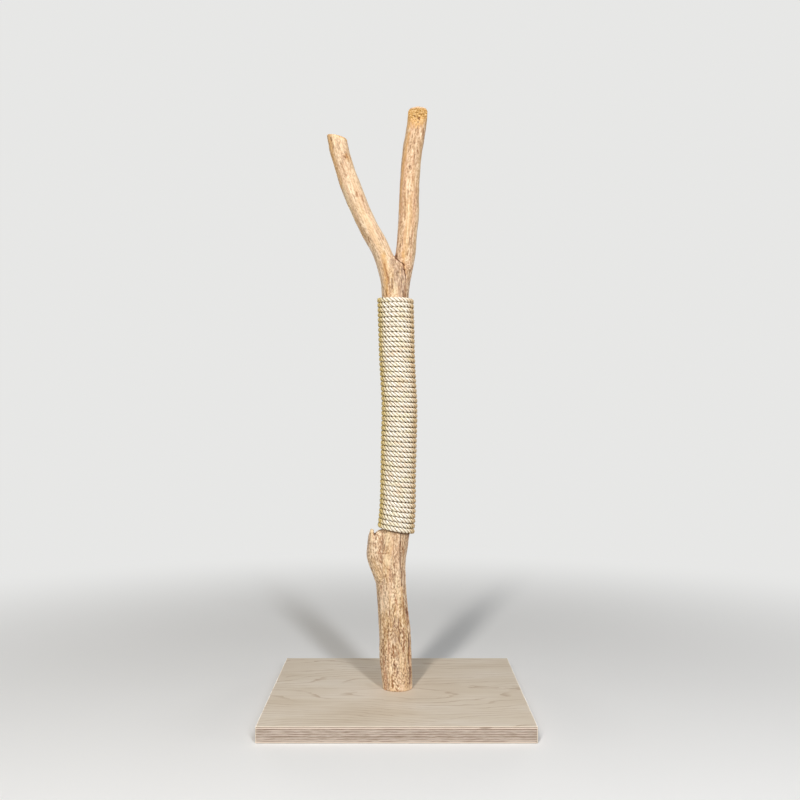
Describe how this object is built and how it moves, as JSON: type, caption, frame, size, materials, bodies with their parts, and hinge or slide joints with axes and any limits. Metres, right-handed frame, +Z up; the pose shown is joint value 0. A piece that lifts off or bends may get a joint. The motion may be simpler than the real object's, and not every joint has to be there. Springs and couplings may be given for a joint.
{
  "type": "cat scratching post",
  "caption": "Forked natural trunk on a square plywood plate, wound with sisal rope between plate and fork, for a cat to scratch.",
  "frame": {"origin": "centre of the base plate's underside, on the floor", "axes": "+Z up along the trunk, -Y towards the front of the post, where the fork opens across x"},
  "size_m": [0.5, 0.5, 1.2161],
  "materials": {
    "birch_plywood": "pale birch veneer, matt, fine grain along x, ply lines on the edges",
    "trunk_wood": "peeled natural wood, matt, long grain, knots and drying cracks",
    "sisal": "three-strand laid sisal, pale straw, slightly hairy",
    "zinc_steel": "zinc plated",
    "staple_steel": "bright drawn wire"
  },
  "bodies": {
    "root": {"base_plate": "birch_plywood", "trunk": "trunk_wood", "sisal_rope_upper": "sisal", "sisal_rope_lower": "sisal", "coach_screw": "zinc_steel", "coach_screw_washer": "zinc_steel", "side_screw_left": "zinc_steel", "side_screw_right": "zinc_steel", "rope_staple_top_outer": "staple_steel", "rope_staple_top_inner": "staple_steel", "rope_staple_bottom_outer": "staple_steel", "rope_staple_bottom_inner": "staple_steel"}
  },
  "joints": []
}
